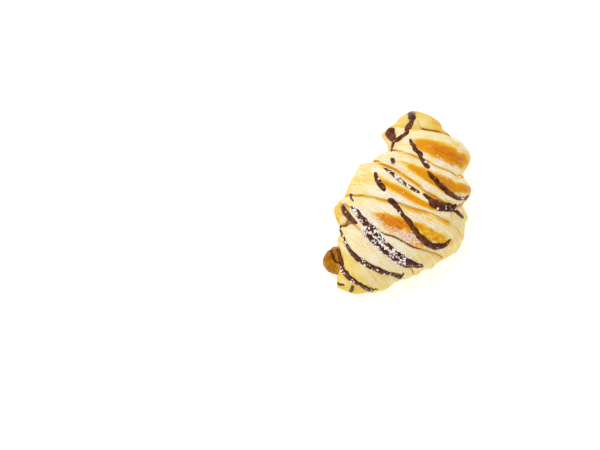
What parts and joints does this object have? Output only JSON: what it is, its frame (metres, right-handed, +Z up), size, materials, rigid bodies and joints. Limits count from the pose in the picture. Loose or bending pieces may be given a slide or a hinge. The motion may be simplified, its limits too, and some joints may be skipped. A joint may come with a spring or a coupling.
{
  "type": "chocolate-drizzled croissant",
  "caption": "Small laminated croissant-shaped roll with stepped wraps, a dark chocolate drizzle and a dusting of icing sugar, lying on its flat underside.",
  "frame": {"origin": "below the middle of the footprint, on the surface the roll rests on", "axes": "+X along the roll from the tail to the head, +Y towards the flank with the stub, +Z up"},
  "size_m": [0.1105, 0.0719, 0.0539],
  "materials": {
    "crust": "baked laminated crust, pale cream in the folds and toasted orange on the ridges, slight egg-wash sheen",
    "chocolate": "set dark chocolate, glossy, with a few grains of sugar stuck on",
    "icing_sugar": "dry white powder and small grains lying on the upper faces"
  },
  "bodies": {
    "root": {"pastry_roll": "crust", "drizzle_head": "chocolate", "drizzle_drop": "chocolate", "drizzle_neck": "chocolate", "drizzle_shoulder": "chocolate", "drizzle_crown_thin": "chocolate", "drizzle_crown_pool": "chocolate", "drizzle_middle_start": "chocolate", "drizzle_middle": "chocolate", "drizzle_fleck": "chocolate", "drizzle_left_fold": "chocolate", "drizzle_double_upper": "chocolate", "drizzle_double_lower": "chocolate", "drizzle_tail_upper": "chocolate", "drizzle_tail_lower": "chocolate", "drizzle_stub": "chocolate", "drizzle_tip_fleck": "chocolate", "drizzle_tip_dot": "chocolate"}
  },
  "joints": []
}
